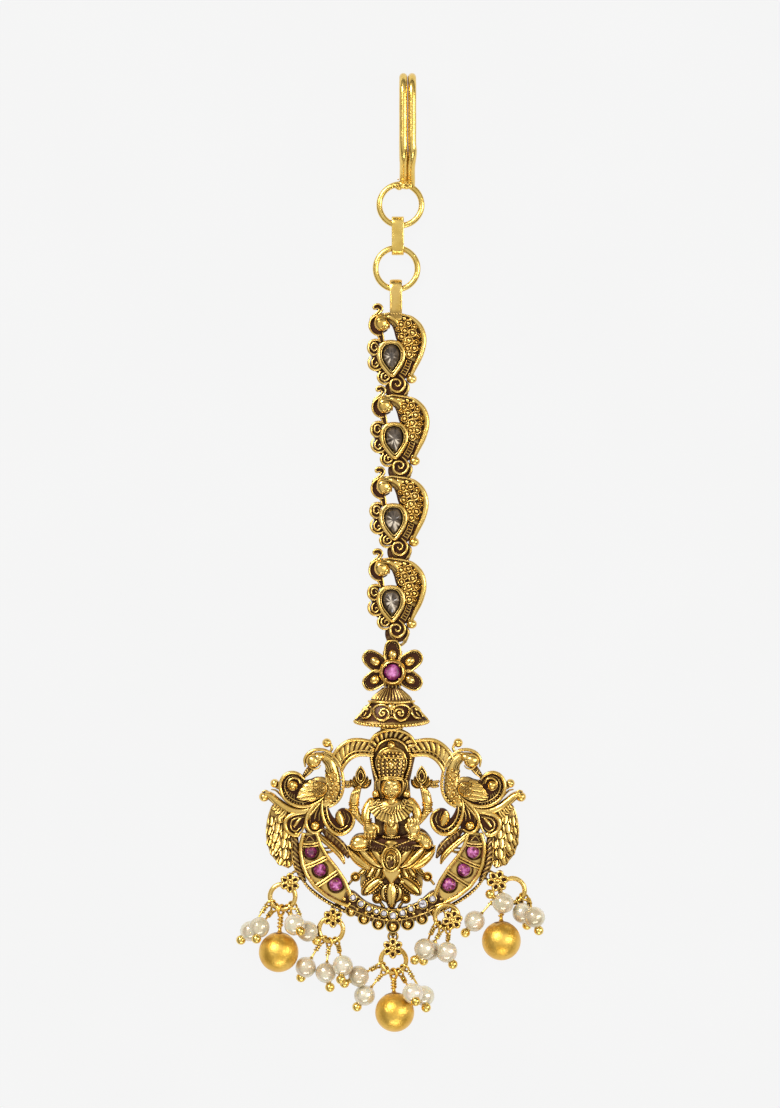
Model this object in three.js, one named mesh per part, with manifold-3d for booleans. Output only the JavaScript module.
// Maang tikka (forehead jewel): a double wire hair hook, two rings and a strap, four peacock links,
// a flower with a bell cap, an openwork pendant with a seated four armed figure between two peacocks,
// and five drop clusters of pearls and gold balls.  Millimetres, +Z up, lying on its back, face up,
// hook towards +Y.  Origin at the centre of the footprint, on the surface it lies on.
import * as THREE from "three";
import { mergeVertices } from "three/addons/utils/BufferGeometryUtils.js";
import Module from "manifold-3d";
const wasm = await Module();
wasm.setup();

// ---------------------------------------------------------------- driving dimensions
const GRID = 0.15; // mm per square of the drawing grid; u runs right (+X), v runs down (-Y)
const U0 = 390.57, V0 = 552.75; // grid point of the origin
const LINK_BACK = 0.9; // underside of the link plates
const RING_WIRE = 0.22, RING_MAJOR = 1.5, RING_Z = 0.545; // small connecting rings
const BIG_RING_MAJOR = 3.15, BIG_RING_WIRE = 0.44, BIG_RING_Z = 1.0;
const HOOK_WIRE = 0.63, HOOK_TOP_Z = 6.3; // radius of each of the two wires; height of the upper leg
const DROP_WIRE = 0.33, DROP_Z = 0.9; // wire and height of the drop rings
const LOOP_MAJOR = 0.6, LOOP_WIRE = 0.16; // eye at the end of each pin
const PIN = 0.14, HEAD = 0.72, PEARL = 1.6; // pin radius, ball head radius, pearl radius
const STONE_GAP = 0.1;
const MIRROR_U = 392.5; // the pendant is symmetric about this line

const GOLD = { color: 0xc8993a, roughness: 0.35, metalness: 1 };
const LOOK = {
  gold: GOLD,
  pearl: { color: 0xe9e0d8, roughness: 0.25, metalness: 0 },
  pink: { color: 0xa83a96, roughness: 0.1, metalness: 0 },
  smoky: { color: 0x3a3028, roughness: 0.1, metalness: 0 },
};

// ---------------------------------------------------------------- helpers
const X = (u) => (u - U0) * GRID;
const Y = (v) => (V0 - v) * GRID;
const at = (u, v, z = 0) => new THREE.Vector3(X(u), Y(v), z);
const px = (n) => n * GRID;

function solid(geometry) {
  const g = geometry.clone();
  for (const name of Object.keys(g.attributes)) if (name !== "position") g.deleteAttribute(name);
  const m = mergeVertices(g, 1e-4);
  const make = (tri) => new wasm.Manifold(new wasm.Mesh({
    numProp: 3, vertProperties: new Float32Array(m.attributes.position.array), triVerts: tri }));
  const tri = new Uint32Array(m.index.array);
  const s = make(tri);
  if (s.volume() >= 0) return s;
  for (let i = 0; i < tri.length; i += 3) [tri[i], tri[i + 1]] = [tri[i + 1], tri[i]];
  return make(tri);
}
const join = (list) => list.reduce((a, b) => a.add(b));
const moved = (g, p) => g.translate(p.x, p.y, p.z);

const nodes = [];
function node(name, s, look) {
  const m = s.getMesh();
  const g = new THREE.BufferGeometry();
  g.setAttribute("position", new THREE.BufferAttribute(new Float32Array(m.vertProperties), 3));
  g.setIndex(new THREE.BufferAttribute(new Uint32Array(m.triVerts), 1));
  g.computeVertexNormals();
  const mesh = new THREE.Mesh(g, new THREE.MeshStandardMaterial(LOOK[look]));
  mesh.name = name;
  nodes.push(mesh);
}

const curveOf = (pts, closed = false) =>
  new THREE.CatmullRomCurve3(pts, closed, "centripetal");
// Closed outline through grid points, smoothed, as a THREE.Shape.
function outline(points, per = 3) {
  const c = curveOf(points.map(([u, v]) => at(u, v)), true);
  return new THREE.Shape(c.getPoints(points.length * per).slice(0, -1).map((p) => new THREE.Vector2(p.x, p.y)));
}
function ellipse(u, v, ru, rv, turn = 0, n = 20) {
  const pts = [];
  for (let i = 0; i < n; i++) {
    const a = (2 * Math.PI * i) / n;
    const x = px(ru) * Math.cos(a), y = px(rv) * Math.sin(a);
    pts.push(new THREE.Vector2(X(u) + x * Math.cos(turn) - y * Math.sin(turn), Y(v) + x * Math.sin(turn) + y * Math.cos(turn)));
  }
  return new THREE.Shape(pts);
}
// A plate of constant section between two heights, with its edges broken by `edge` mm.
function plate(shape, z0, z1, edge = 0) {
  const g = new THREE.ExtrudeGeometry(shape, {
    depth: z1 - z0 - 2 * edge, bevelEnabled: edge > 0, bevelThickness: edge, bevelSize: edge,
    bevelOffset: -edge, bevelSegments: 1, curveSegments: 8 });
  return solid(g.translate(0, 0, z0 + edge));
}
// A round topped bar that follows grid points, from z0 up to z1.
function bar(points, halfPx, z0, z1, steps = 1) {
  const w = px(halfPx);
  const s = new THREE.Shape([[z0, -w], [z1, -w * 0.45], [z1, w * 0.45], [z0, w]].map(([z, y]) => new THREE.Vector2(-z, y)));
  const path = curveOf(points.map(([u, v]) => at(u, v)));
  return solid(new THREE.ExtrudeGeometry(s, { extrudePath: path, steps: steps * (points.length - 1) }));
}
// A round wire through 3-D points.
function wire(points, r, sides = 6, steps = 4) {
  const s = new THREE.Shape();
  s.setFromPoints(Array.from({ length: sides }, (_, i) =>
    new THREE.Vector2(r * Math.cos((2 * Math.PI * i) / sides), r * Math.sin((2 * Math.PI * i) / sides))));
  return solid(new THREE.ExtrudeGeometry(s, { extrudePath: curveOf(points), steps: steps * (points.length - 1) }));
}
const straight = (a, b, r, sides = 8) => {
  const g = new THREE.CylinderGeometry(r, r, a.distanceTo(b), sides);
  g.applyQuaternion(new THREE.Quaternion().setFromUnitVectors(new THREE.Vector3(0, 1, 0), b.clone().sub(a).normalize()));
  return solid(moved(g, a.clone().add(b).multiplyScalar(0.5)));
};
const ball = (p, r, n = 8) =>
  solid(moved(new THREE.SphereGeometry(r, n, n > 6 ? Math.round(n * 0.55) : 3).rotateX(Math.PI / 2), p));
const lens = (u, v, ru, rv, z, rz, turn = 0, n = 12) =>
  solid(moved(new THREE.SphereGeometry(1, n, n > 6 ? 4 : 3).rotateX(Math.PI / 2).scale(px(ru), px(rv), rz).rotateZ(turn), at(u, v, z)));
const flatRing = (p, R, r, n = 20, m = 6) => solid(moved(new THREE.TorusGeometry(R, r, m, n), p));
// An upright eye whose hole faces along `along` (radians in the plane), stretched by `tall` in z.
const eye = (p, along, R, r, tall = 1, n = 8, m = 3) =>
  solid(moved(new THREE.TorusGeometry(R, r, m, n).rotateX(Math.PI / 2).scale(1, 1, tall).rotateZ(along + Math.PI / 2), p));
// A curl: a bar that winds inwards around (u, v).
function curl(u, v, r, from, sweep, halfPx, z0, z1, inner = 0.45, n = 5) {
  const pts = [];
  for (let i = 0; i <= n; i++) {
    const t = i / n, a = ((from + sweep * t) * Math.PI) / 180, k = r * (1 - (1 - inner) * t);
    pts.push([u + k * Math.cos(a), v - k * Math.sin(a)]);
  }
  return bar(pts, halfPx, z0, z1, 1);
}
function lathe(profile, n = 16) {
  return new THREE.LatheGeometry(profile.map(([r, z]) => new THREE.Vector2(r, z)), n).rotateX(Math.PI / 2);
}
const bigBox = (x0, x1, y0, y1, z0, z1) =>
  solid(new THREE.BoxGeometry(x1 - x0, y1 - y0, z1 - z0).translate((x0 + x1) / 2, (y0 + y1) / 2, (z0 + z1) / 2));

// ---------------------------------------------------------------- hook, rings and strap
{
  const hookSide = [ // v, z: from the ring, up the upper leg, round the bend and back underneath
    [185, 1.1], [180, 1.7], [168, 4.0], [157, 5.8], [146, HOOK_TOP_Z], [122, HOOK_TOP_Z], [99, HOOK_TOP_Z]];
  const bend = (HOOK_TOP_Z - HOOK_WIRE) / 2, bendV = 75 + (bend + HOOK_WIRE) / GRID;
  for (let i = 1; i <= 5; i++) {
    const a = (Math.PI * i) / 6;
    hookSide.push([bendV - (bend / GRID) * Math.sin(a), HOOK_WIRE + bend + bend * Math.cos(a)]);
  }
  hookSide.push([99, HOOK_WIRE], [130, HOOK_WIRE], [161, HOOK_WIRE]);
  const row = (u) => wire(hookSide.map(([v, z]) => at(u + (v > 150 && z > 1 ? (u < 407 ? 0.3 : -0.9) : 0), v, z)), HOOK_WIRE, 6, 1);
  const ring = at(400.5, 204.6, BIG_RING_Z);
  node("hair_hook", join([
    row(403.3), row(411.9),
    ball(at(403.3, 161, HOOK_WIRE), HOOK_WIRE, 8), ball(at(411.9, 161, HOOK_WIRE), HOOK_WIRE, 8),
    flatRing(ring, BIG_RING_MAJOR, BIG_RING_WIRE, 18, 5),
    ball(at(402, 184.5, 1.15), 0.78, 6), ball(at(409.5, 184.5, 1.15), 0.74, 6),
    ball(at(395.5, 184.8, 1.0), 0.52, 6),
  ]), "gold");
  // extrudes an outline given as v, z from u0 to u1
  const alongX = (side, u0, u1) =>
    solid(new THREE.ExtrudeGeometry(new THREE.Shape(side.map(([v, z]) => new THREE.Vector2(Y(v), Math.max(0, z)))),
      { depth: px(u1 - u0), bevelEnabled: false })
      .applyMatrix4(new THREE.Matrix4().makeBasis(new THREE.Vector3(0, 1, 0), new THREE.Vector3(0, 0, 1), new THREE.Vector3(1, 0, 0)))
      .translate(X(u0), 0, 0));
  // strap: a band bent into a closed loop
  const band = 0.36, strapTop = 216.2, strapFoot = 255.0, strapHigh = 2.0;
  node("strap_link", alongX([[strapTop, 0], [strapFoot, 0], [strapFoot, strapHigh], [strapTop, strapHigh]], 391.7, 403.8)
    .subtract(alongX([[strapTop + band / GRID, band], [strapFoot - band / GRID, band], [strapFoot - band / GRID, strapHigh - band],
      [strapTop + band / GRID, strapHigh - band]], 380, 412)), "gold");
  node("lower_ring", flatRing(at(396.6, 268.4, BIG_RING_Z), BIG_RING_MAJOR, BIG_RING_WIRE, 18, 5), "gold");

  // ---------------------------------------------------------------- peacock links
  const bailSide = [[316, 0.9], [312, 0.35], [300, 0.05], [288, 0.0], [281.5, 0.35], [279, 1.2], [281, 2.1], [287, 2.6], [300, 2.5], [312, 2.3], [319, 2.2], [320, 1.2]];
  const bailHole = [[300, 0.55], [290, 0.45], [284.5, 0.6], [282.4, 1.2], [284.5, 1.8], [290, 2.05], [301, 2.0], [305, 1.3]];
  const smooth = (side, n) => curveOf(side.map(([v, z]) => new THREE.Vector3(v, z, 0)), true).getPoints(n).slice(0, -1).map((p) => [p.x, p.y]);
  const bail = alongX(smooth(bailSide, 30), 389.6, 402.2).subtract(alongX(smooth(bailHole, 16), 380, 412));

  const PEAR_OUT = [[391, 341], [400, 343], [405, 351], [404.5, 361], [399, 371], [392.3, 378], [384, 371], [378, 361], [377, 351], [382, 343]];
  const PEAR_IN = [[391, 343.6], [397.5, 345.5], [401, 352], [400.6, 360], [397, 367], [392.1, 372.6], [386.3, 367], [382, 360], [381.2, 352], [384.8, 345.5]];
  const BODY = [[383, 315.5], [393, 313.6], [406, 314.8], [418, 322.5], [425, 340], [421, 357], [412, 374], [403, 379], [400, 373], [406, 355], [397, 339], [395.5, 331], [390, 325], [385, 323]];
  const shift = (pts, du, dv) => pts.map(([u, v]) => [u + du, v + dv]);
  const LINKS = [ // du, dv of each link from the first
    [0, 0], [3, 82], [2.2, 163.1], [0, 245]];
  LINKS.forEach(([du, dv], k) => {
    const s = (pts) => shift(pts, du, dv);
    const B = LINK_BACK;
    const D = B - 0.1; // pieces start just below the plate's back, which one cut then trims
    let link = join([
      plate(outline(s(PEAR_OUT), 1), D, 2.6),
      plate(outline(s(BODY), 1), D, 2.1),
      bar(s([[371, 324], [371, 319], [377, 314], [381, 311], [382, 308], [378, 306], [374.5, 307.5]]), 1.7, D, 1.8),
      bar(s([[378, 314.5], [370.5, 322], [373, 332], [381, 335.5]]), 1.5, D, 2.0),
      lens(381 + du, 323 + dv, 8.2, 9.2, B + 0.5, 1.5, 0, 8),
      bar(s([[380, 333], [382, 343]]), 1.9, D, 1.8),
      bar(s([[410, 318], [421, 328], [423.5, 343], [418, 360], [411, 376]]), 1.9, D, 2.5),
      ball(at(411 + du, 378.7 + dv, 1.75), 0.82, 6),
      curl(374.5 + du, 347 + dv, 5.6, 60, 330, 1.6, D, 2.0),
      bar(s([[373, 350.3], [376.5, 351.5], [380, 352]]), 1.8, D, 1.7),
      curl(375.5 + du, 363.5 + dv, 4.9, 100, 300, 1.6, D, 2.0),
      curl(383.5 + du, 376.5 + dv, 5.4, 110, 290, 1.6, D, 2.0),
      curl(397 + du, 383.5 + dv, 7.6, -30, -330, 1.8, D, 2.3, 0.45, 6),
      plate(outline(s([[388, 372], [399, 372], [404, 378], [402, 387], [392, 387], [386, 381]]), 1), D, 1.35),
    ]);
    link = link.intersect(bigBox(-12, 12, -30, 40, B, 9)).subtract(plate(outline(s(PEAR_IN), 1), 1.5, 4))
      .add(eye(at(397 + du, 381 + dv, 0.63), 0, 0.5, 0.13));
    if (k === 0) link = link.add(bail);
    else link = link.add(eye(at(397 + LINKS[k - 1][0], 401 + LINKS[k - 1][1], 0.63), 0, 0.5, 0.13));
    node("peacock_link_" + (k + 1), link, "gold");
    const inset = PEAR_IN.map(([u, v]) => { // the stone sits in its pocket with a small gap all round
      const n = Math.hypot(u - 391.3, v - 357), q = 1 - STONE_GAP / GRID / n;
      return [391.3 + (u - 391.3) * q + du, 357 + (v - 357) * q + dv];
    });
    node("pear_stone_" + (k + 1), plate(outline(inset, 1), 1.6, 2.9, 0.35), "smoky");
    node("connecting_ring_" + (k + 1), flatRing(at(397 + du, 391 + dv, RING_Z), RING_MAJOR, RING_WIRE, 12, 4), "gold");
  });
}

// ---------------------------------------------------------------- flower with bell cap
{
  const B = LINK_BACK;
  const petals = [ // u, v, half length, half width, turn in degrees
    [392.5, 652.5, 11.5, 7.2, 90], [373, 660.5, 11, 7.2, 148], [411.5, 660.5, 11, 7.2, 32],
    [373.5, 681.5, 11, 7.2, 212], [411.5, 681.5, 11, 7.2, -32]];
  const bellProfile = [ // v, half width
    [686.5, 9], [690, 12.5], [695, 18], [699.5, 21.5], [701.5, 22.6], [704, 22], [709, 25.5], [714, 30.5], [718, 35], [721, 37.2], [724, 37.2], [726.8, 12]];
  const bell = new THREE.LatheGeometry(
    [[0, Y(686.5)], ...bellProfile.map(([v, r]) => [px(r), Y(v)]), [0, Y(726.8)]].map(([r, y]) => new THREE.Vector2(r, y)), 16)
    .scale(1, 1, 0.58).translate(X(391.5), 0, B);
  const above = bigBox(-12, 12, Y(740), Y(600), B, 9);
  let s = join([
    ...petals.map(([u, v, a, b, t]) => plate(ellipse(u, v, a, b, (t * Math.PI) / 180, 12), B - 0.1, 1.9)),
    plate(ellipse(392.5, 672, 13, 13, 0, 18), B - 0.1, 2.6),
    solid(bell),
    ball(at(384, 713, 3.3), 0.95, 6), ball(at(399.5, 713, 3.3), 0.95, 6), ball(at(391.7, 706.5, 3.4), 0.6, 6),
    plate(outline([[380, 683], [403, 683], [404, 690], [379, 690]], 1), B - 0.1, 1.9),
  ]).intersect(above).add(eye(at(397, 646, 0.63), 0, 0.5, 0.13)).add(eye(at(391.5, 720.5, 0.63), 0, 0.5, 0.13));
  s = s.subtract(plate(ellipse(392.5, 672, 9.5, 9.5, 0, 18), 1.5, 4));
  node("flower_bell", s, "gold");
  node("flower_stone", solid(moved(lathe([[0, 1.6], [px(8.6), 1.6], [px(8.6), 2.3], [px(6.2), 2.9], [px(3), 3.15], [0, 3.2]], 16), at(392.5, 672))), "pink");
  node("connecting_ring_5", flatRing(at(391.5, 730.5, RING_Z), RING_MAJOR, RING_WIRE, 12, 4), "gold");
}

// ---------------------------------------------------------------- pendant
const STONES = [ // name, u, v, radius in grid squares
  ["a", 311, 852, 6.2], ["b", 320, 870, 6.4], ["c", 336, 884.5, 6.8],
  ["d", 449, 884.5, 6.8], ["e", 464, 870, 6.4], ["f", 473, 852, 6.2]];
const DROPS = [ // name, eye u, v, flower u, v, radius, ring u, v, major radius, height of the ring, height of the eye
  ["a", 296, 876.2, 290, 882.5, 9.8, 282.5, 897, 12.6, DROP_Z, 0.62],
  ["b", 336, 909.5, 333, 917.5, 9.8, 331, 930, 12.0, DROP_Z, 0.62],
  ["c", 393, 937.0, 392.8, 947.8, 10.2, 393.5, 960.8, 12.6, DROP_Z, 0.62],
  ["d", 447.6, 909.5, 452, 918.5, 10.2, 446.5, 916, 11.6, 2.35, 1.0],
  ["e", 489.6, 876.2, 497.5, 880.6, 10.8, 512.5, 890.8, 12.2, DROP_Z, 0.62]];
{
  const UNDER = -0.1; // every piece starts just below the flat back, which one cut then trims
  const half = [];
  const P = (...a) => half.push(plate(...a)), BAR = (...a) => half.push(bar(...a));
  // plates: outline, lower and upper height, broken edge
  P(outline([[306, 756], [316, 750.5], [330, 754], [340.5, 765], [344, 784], [340, 799], [328, 806.5], [321.5, 803], [325.5, 790], [325.5, 774], [321, 766], [312, 771.5], [305, 766]], 1), UNDER, 1.8); // neck and chest of the side peacock
  P(outline([[292, 772.5], [301, 776], [308, 781], [318, 778], [327, 784], [327, 794], [320, 801], [305, 806], [291, 803], [282, 793], [281.5, 781]], 1), UNDER, 1.2); // ground of the wing and the curled tail
  P(outline([[276, 805], [270, 815], [267, 830], [268, 842], [272, 854], [280, 863], [289.5, 868], [293, 852], [293, 836], [301, 830], [304, 818], [296, 811], [284, 808]], 1), UNDER, 1.6); // scaled flank
  P(outline([[320, 800], [308, 811], [303, 824], [302, 836], [319, 836], [325, 826], [323, 812]], 1), UNDER, 1.2); // dark teardrop
  P(ellipse(340, 821, 11.5, 12.5, 0, 18), UNDER, 1.0);
  P(outline([[302, 834], [299.5, 850], [301.5, 863], [306, 876], [315, 888], [328, 898], [341, 905], [352, 908], [352, 893], [346, 880], [338.5, 869], [328.5, 858], [322.5, 848], [319, 834]], 1), UNDER, 1.6); // stone panel
  P(outline([[372, 741], [361, 738.5], [350, 739], [341, 743], [334, 750], [330.5, 758], [337, 766], [344, 769], [349, 763], [356, 758], [364, 756], [374, 758]], 1), UNDER, 1.5); // ribbed side arch
  // bars: path, half width, heights
  BAR([[306, 757], [314, 750.5], [324, 749], [327, 744]], 1.8, UNDER, 1.7);
  BAR([[310, 768], [304, 776], [299, 779]], 2.2, UNDER, 1.3);
  BAR([[303, 780], [298, 773], [290, 772.5], [282.5, 779], [281.5, 791], [289, 801], [301, 806], [314, 803.5], [322, 799]], 1.7, UNDER, 2.3);
  BAR([[264, 796.5], [271, 796], [280, 804], [292, 810.5], [305, 811], [316, 806]], 3.1, UNDER, 1.9);
  BAR([[295.5, 834], [295, 856], [298, 877]], 3.6, UNDER, 1.3);
  BAR([[300, 877], [311, 889.5], [325, 899.5], [340, 907], [350, 910.5]], 1.7, UNDER, 1.2);
  BAR([[322, 829], [335, 837.5], [344, 846], [348, 858]], 2.8, UNDER, 1.3);
  BAR([[317, 834], [328, 843], [337, 852], [343.5, 863]], 2.1, UNDER, 1.8);
  BAR([[320, 851], [334, 851]], 2.0, UNDER, 1.1);
  BAR([[321.5, 800], [322.5, 815], [328, 827], [339, 833.5], [349, 829.5], [353.5, 820], [349, 811], [341, 809]], 1.8, UNDER, 2.1);
  BAR([[338, 784], [352, 784]], 3.6, UNDER, 1.2); // bridge to the lotus bud
  BAR([[362, 827], [354.5, 814], [353, 799], [358, 787]], 3.4, UNDER, 2.2); // rear arm
  BAR([[346, 827], [364, 824]], 2.2, UNDER, 1.1);
  BAR([[353, 783], [360, 787], [370, 782]], 2.0, UNDER, 1.6);
  BAR([[345, 843], [356, 846]], 2.6, UNDER, 1.1);
  BAR([[350, 880], [356, 876.5], [366, 872]], 2.2, UNDER, 1.1);
  BAR([[372, 892], [377, 899], [380, 908]], 2.2, UNDER, 1.1);
  half.push(
    lens(313.5, 760.5, 8.2, 7.6, 1.3, 1.25, 0, 6), // head
    ball(at(326.5, 742.5, 0.95), 0.72, 6), ball(at(274.5, 783.5, 0.8), 0.7, 6), ball(at(264, 796.5, 0.85), 0.85, 6),
    ball(at(292.5, 785, 1.5), 0.85, 6), ball(at(315, 825, 1.5), 0.8, 6), ball(at(340.5, 820, 1.5), 0.8, 6),
    lens(312.5, 789, 14.5, 9, 1.1, 1.5, 0.12, 6), // wing leaf
    lens(293.5, 822.5, 10, 10.5, 0.9, 1.2, 0, 6), // curled leaf
    bar([[278, 783], [284, 789]], 2.4, UNDER, 1.1),
    lens(360, 776.5, 5.8, 10.2, 1.2, 1.1, 0, 6), // lotus bud
    lens(370.5, 825.5, 6.6, 9.5, 1.8, 1.6, -0.1, 6), // front hand
    wire([at(370, 803, 1.6), at(365.5, 814, 2.0), at(366, 826, 2.0)], 0.66, 6, 1),
    lens(358, 838.5, 9, 8, 1.3, 1.9, 0, 6), // knee
    ball(at(376.3, 793.5, 1.9), 0.62, 6), // earring
    lens(368.5, 857.5, 18.5, 9.8, 1.1, 1.7, -0.18, 6), lens(370.5, 883, 8, 12.5, 0.9, 1.2, -0.45, 6), // lotus petals
    ball(at(355.3, 877, 0.9), px(5), 6), ball(at(377.3, 899, 0.9), px(5.4), 6),
  );
  const left = join(half);
  const mirrored = left.mirror([1, 0, 0]).translate([2 * X(MIRROR_U), 0, 0]);
  const arc = (n, du, v0, drop, r, z) => // a row of balls along a shallow arc, hanging in the middle
    Array.from({ length: n }, (_, i) => {
      const t = n === 1 ? 0 : (2 * i) / (n - 1) - 1;
      return ball(at(MIRROR_U + du * t, v0 - drop * t * t, z), px(r), 7);
    });
  let s = join([
    left, mirrored,
    plate(outline([[392.5, 729.6], [403, 732], [413, 741], [416, 750], [413.5, 765], [411, 780], [411, 800], [374, 800], [374, 780], [371.5, 765], [369, 750], [372, 741], [382, 732]], 1), UNDER, 1.3), // niche
    bar([[370.5, 744], [377, 735.5], [392.5, 731], [408, 735.5], [414.5, 744]], 1.5, UNDER, 2.0),
    lens(392.5, 764, 13.2, 15.5, 1.0, 2.9, 0, 8), lens(392.5, 750, 8.5, 6, 1.2, 2.2, 0, 6), ball(at(392.5, 745.5, 2.2), 0.5, 6), // crown
    plate(ellipse(392.5, 778, 13.4, 4.2, 0, 14), UNDER, 3.7, 0.2),
    lens(392.5, 788.5, 10.6, 11.6, 2.3, 2.6, 0, 8), // head
    lens(392.5, 812, 22, 15, 1.2, 2.3, 0, 8), lens(392.5, 828, 11.5, 14, 1.2, 2.1, 0, 8), // chest and waist
    
    lens(392.5, 842, 34, 8.5, 1.0, 2.3, 0, 8), // lap
    lens(392.5, 858.5, 11.2, 13.5, 1.5, 2.5, 0, 8), // upper lotus petal
    lens(392.5, 874.5, 13, 9, 1.2, 2.0, 0, 8), lens(392.5, 893, 6, 15.5, 1.0, 1.6, 0, 6),
    plate(outline([[350, 848], [372, 843], [392.5, 842], [413, 843], [435, 848], [430, 859], [421, 866], [424, 884], [414, 896], [404, 890], [392.5, 911], [381, 890], [371, 896], [361, 884], [364, 866], [355, 859]], 1), UNDER, 1.0), // ground of the lotus
    bar([[349, 902], [370, 911], [392.5, 915.5], [415, 911], [436, 902]], 6.5, UNDER, 2.0),
    ...arc(6, 41, 925, 14.5, 6.6, 1.0),
    bar([[380, 905], [392.5, 913], [405, 905]], 3.5, UNDER, 1.1),
    bar([[392.8, 920], [392.9, 934]], 2.6, UNDER, 1.3),
  ]);
  s = s.intersect(bigBox(-30, 30, Y(1000), Y(700), 0, 9));
  // the top of the niche is cut away underneath for the connecting ring, which a small eye holds
  s = s.subtract(bigBox(X(378), X(405), Y(746), Y(728), -1, LINK_BACK));
  s = s.add(eye(at(391.5, 740.5, 0.63), 0, 0.5, 0.13));
  for (const [, u, v, r] of STONES)
    s = s.subtract(plate(ellipse(u, v, r + STONE_GAP / GRID + 0.2, r + STONE_GAP / GRID + 0.2, 0, 14), 0.7, 4));
  for (const row of DROPS) s = s.add(flatRing(at(row[1], row[2], row[10]), px(4.4), 0.2, 10, 5));
  node("pendant", s, "gold");
  for (const [name, u, v, r] of STONES)
    node("pink_stone_" + name, solid(moved(lathe([[0, 0.8], [px(r), 0.8], [px(r), 1.5], [px(r * 0.7), 2.0], [px(r * 0.3), 2.15], [0, 2.2]], 12), at(u, v))), "pink");
}

// ---------------------------------------------------------------- drops
for (const [name, eu, ev, fu, fv, fr, ru, rv, R, z, ez] of DROPS) {
  node("drop_ring_" + name, flatRing(at(ru, rv, z), px(R), DROP_WIRE, 14, 4), "gold");
  // flower: six petals; one eye at its back holds the ring, the other the eye of the pendant
  const pts = [];
  for (let i = 0; i < 18; i++) {
    const a = (2 * Math.PI * i) / 18, r = px(fr) * (0.86 + 0.14 * Math.cos(6 * a + Math.PI));
    pts.push(new THREE.Vector2(X(fu) + r * Math.cos(a), Y(fv) + r * Math.sin(a)));
  }
  const back = z + 0.5, toRing = Math.atan2(-(rv - fv), ru - fu);
  const wu = ru - 0.985 * R * Math.cos(toRing), wv = rv + 0.985 * R * Math.sin(toRing); // where the ring passes behind the flower
  const toFlower = Math.atan2(-(fv - ev), fu - eu);
  const hu = eu + 4.4 * Math.cos(toFlower), hv = ev - 4.4 * Math.sin(toFlower);
  const low = 0.06 + (ez - 0.62) * 0.6, high = back + 0.35, mid = (low + high) / 2;
  node("drop_flower_" + name, join([
    plate(new THREE.Shape(pts), back, back + 0.75),
    eye(at(wu, wv, z), toRing + Math.PI / 2, 0.6, 0.11),
    eye(at(hu, hv, mid), toFlower + Math.PI / 2, 0.46, 0.09, (high - low) / 2 / 0.55),
  ]), "gold");
}
// Each pin: an eye on its ring, a straight shank to the pearl or ball, and a ball head past it.
const RINGS = Object.fromEntries(DROPS.map((d) => [d[0], { u: d[6], v: d[7], R: d[8], z: d[9] }]));
function eyeOnRing(ring, degrees) {
  const { u, v, R, z } = RINGS[ring], a = (degrees * Math.PI) / 180;
  return { p: at(u + (R + 0.6) * Math.cos(a), v - (R + 0.6) * Math.sin(a), z), along: a + Math.PI / 2,
    out: at(u + (R + 0.6) * Math.cos(a), v - (R + 0.6) * Math.sin(a), z).add(new THREE.Vector3(Math.cos(a), Math.sin(a), 0).multiplyScalar(LOOP_MAJOR)) };
}
const BALLS = [ // ring, angle of its eye on the ring, u, v, radius
  ["a", -96, 279, 951, 19.8], ["c", -90, 394.7, 1010.8, 19.5], ["e", -128, 501, 939.6, 19.4]];
for (const [ring, angle, u, v, r] of BALLS) {
  const e = eyeOnRing(ring, angle), c = at(u, v, px(r)), d = c.clone().sub(e.out).normalize();
  const foot = c.clone().addScaledVector(d, -px(r) * 0.9);
  node("gold_bead_" + ring, join([
    ball(c, px(r), 13), eye(e.p, e.along, LOOP_MAJOR, LOOP_WIRE, 1.0), straight(e.out, foot, 0.3, 6),
    ball(c.clone().addScaledVector(d, -px(r) * 0.98), 0.75, 7)]), "gold");
}
const PEARLS = [ // name, ring, angle of its eye, pearl u, v, z, head u, v, z
  ["a1", "a", -126, 260, 925, 4.75, 257.5, 935.5, 5.75],
  ["a2", "a", -152, 250.5, 931, 1.62, 241, 939.8, 1.62],
  ["a3", "a", -66, 295, 922.6, 4.35, 301.2, 928.0, 5.85],
  ["a4", "a", -40, 307.5, 931, 1.75, 316.6, 940.5, 1.5],
  ["b1", "b", -128, 305.8, 967, 1.62, 301, 977.5, 1.35],
  ["b2", "b", -98, 326, 972, 2.35, 330, 986.6, 2.2],
  ["b3", "b", -66, 343, 963.6, 3.95, 341.2, 976.4, 5.0],
  ["c1", "c", -160, 358.6, 975.4, 2.45, 344.6, 982.2, 2.65],
  ["c2", "c", -130, 364.6, 995.2, 1.62, 357.0, 1007.0, 1.2],
  ["c3", "c", -62, 412.6, 990.2, 5.1, 415.4, 997.0, 6.3],
  ["c4", "c", -34, 424, 995.6, 1.75, 426, 1006.4, 2.75],
  ["d1", "d", -140, 424.2, 946.2, 4.75, 414.6, 957.4, 4.7],
  ["d2", "d", -84, 446.6, 950.4, 3.7, 452.6, 962.6, 3.6],
  ["d3", "d", -112, 430, 949.8, 1.62, 423.5, 961.0, 1.2],
  ["e1", "e", -100, 502.6, 901.8, 3.3, 489.6, 892.6, 3.7],
  ["e2", "e", -156, 474.5, 921, 1.62, 465.4, 932.8, 1.4],
  ["e3", "e", -28, 533.6, 915, 4.4, 538, 928.6, 4.0],
  ["e4", "e", -56, 522.5, 913, 1.62, 527.0, 925.5, 1.1]];
for (const [name, ring, angle, u, v, z, hu, hv, hz] of PEARLS) {
  const e = eyeOnRing(ring, angle), c = at(u, v, z), h = at(hu, hv, hz);
  node("pearl_drop_" + name, join([
    ball(c, PEARL, 8), eye(e.p, e.along, LOOP_MAJOR, LOOP_WIRE),
    straight(e.out, c, PIN, 3), straight(c, h, PIN, 3), ball(h, HEAD, 6)]), "pearl");
}

const tikka = new THREE.Group();
tikka.name = "maang_tikka";
nodes.forEach((m) => tikka.add(m));
export default tikka;
